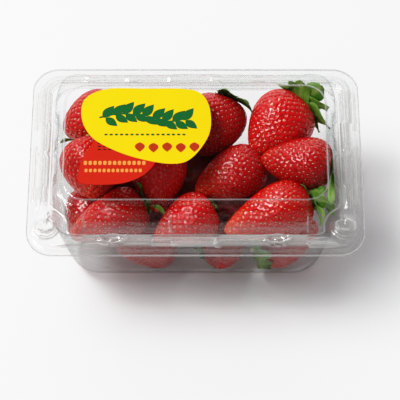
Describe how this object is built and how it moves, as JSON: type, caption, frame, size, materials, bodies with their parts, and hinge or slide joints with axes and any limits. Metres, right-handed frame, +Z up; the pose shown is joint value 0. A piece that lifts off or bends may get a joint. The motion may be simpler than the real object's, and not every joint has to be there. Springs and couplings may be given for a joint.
{
  "type": "punnet of strawberries",
  "caption": "Clear hinged plastic punnet, shut, filled with whole strawberries, with a plain coloured sticker on its lid.",
  "frame": {"origin": "on the surface that the punnet stands on, under the middle of its outline", "axes": "+X along the punnet's length, -Y towards the front with the two snaps, +Z up"},
  "size_m": [0.1888, 0.122, 0.0896],
  "materials": {
    "tray_plastic": "clear thermoformed sheet, glossy",
    "lid_plastic": "clear thermoformed sheet, glossy",
    "berry": "moist fruit skin with sunk seeds",
    "sticker": "printed film, satin"
  },
  "bodies": {
    "base": {"tray": "tray_plastic", "strawberries": "berry"},
    "lid": {"lid": "lid_plastic", "sticker": "sticker"}
  },
  "joints": [
    {"name": "lid_hinge", "type": "hinge", "parent": "base", "child": "lid", "pos_m": [0, 0.0612, 0.06735], "axis": [-1, 0, 0], "range_deg": [0, 180]}
  ]
}
